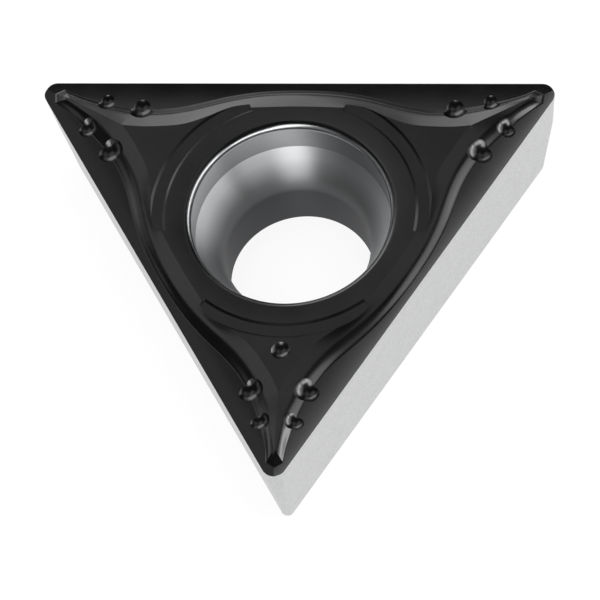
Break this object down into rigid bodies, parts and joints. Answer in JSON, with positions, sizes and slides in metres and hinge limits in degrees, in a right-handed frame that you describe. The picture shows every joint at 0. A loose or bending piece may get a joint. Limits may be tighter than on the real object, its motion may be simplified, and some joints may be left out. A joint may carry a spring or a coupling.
{
  "type": "carbide insert",
  "caption": "Triangular indexable cutting insert with clearance flanks, a screw hole with a countersunk seat and a raised chip breaker on the rake face.",
  "frame": {"origin": "on the screw hole's axis, at the flat seat face that the insert rests on", "axes": "+Z along the screw hole's axis, out of the rake face; one corner points along -Y, and the edge opposite to it runs along X"},
  "size_m": [0.016, 0.0139, 0.0042],
  "materials": {
    "carbide": "dark coated rake face with a soft sheen, satin ground bright flanks and a bright hole"
  },
  "bodies": {
    "root": {"insert_body": "carbide"}
  },
  "joints": []
}
